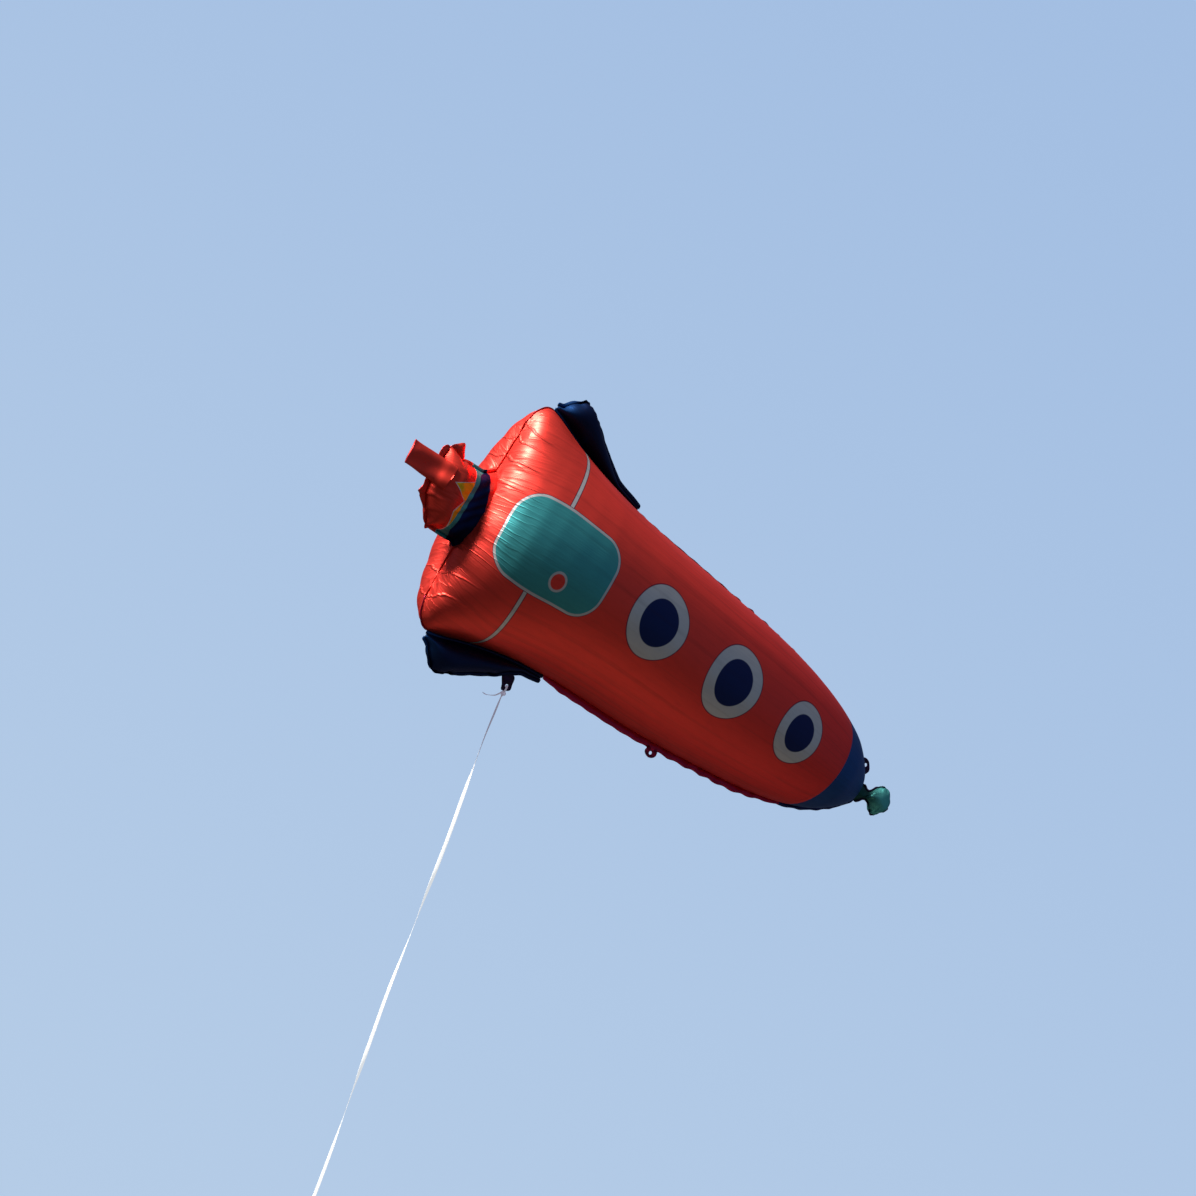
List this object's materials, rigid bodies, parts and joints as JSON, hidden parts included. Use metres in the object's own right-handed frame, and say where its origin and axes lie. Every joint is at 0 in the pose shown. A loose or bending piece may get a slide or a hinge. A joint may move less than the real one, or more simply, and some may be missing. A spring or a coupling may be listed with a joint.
{
  "type": "rocket foil balloon",
  "caption": "Rocket-shaped foil balloon: welded film sheets forming a body, side fins, nozzle, flame and nose antenna, with tie tabs and a curling ribbon.",
  "frame": {"origin": "the balloon's centre of lift, on the rocket's axis between the front and back sheets, 340 mm in front of the tail seam", "axes": "+X along the rocket towards its nose, +Z towards the upper fin, -Y out of the printed front sheet"},
  "size_m": [1.06, 0.2642, 1.286],
  "materials": {
    "body_foil": "glossy metallised film printed coral red, with a navy nose, grey-white rings and belt and a teal hatch",
    "fin_foil": "glossy metallised film printed navy",
    "nozzle_foil": "glossy metallised film printed teal with a navy band",
    "flame_foil": "glossy metallised film printed red with a yellow tongue",
    "antenna_foil": "glossy metallised film printed teal",
    "neck_film": "thin flat film, tinted red",
    "tab_foil": "two welded sheets of film, dark violet",
    "ribbon": "white curling ribbon, satin with fine lengthwise ribs"
  },
  "bodies": {
    "root": {"body_front": "body_foil", "body_back": "body_foil", "fin_upper_front": "fin_foil", "fin_upper_back": "fin_foil", "fin_lower_front": "fin_foil", "fin_lower_back": "fin_foil", "nozzle_front": "nozzle_foil", "nozzle_back": "nozzle_foil", "flame_front": "flame_foil", "flame_back": "flame_foil", "antenna_front": "antenna_foil", "antenna_back": "antenna_foil", "fill_neck_front": "neck_film", "fill_neck_back": "neck_film", "tie_tab_nose": "tab_foil", "tie_tab_belly": "tab_foil", "tie_tab_fin": "tab_foil", "ribbon": "ribbon", "ribbon_knot": "ribbon", "ribbon_short_end": "ribbon", "ribbon_hand_loop": "ribbon"}
  },
  "joints": []
}
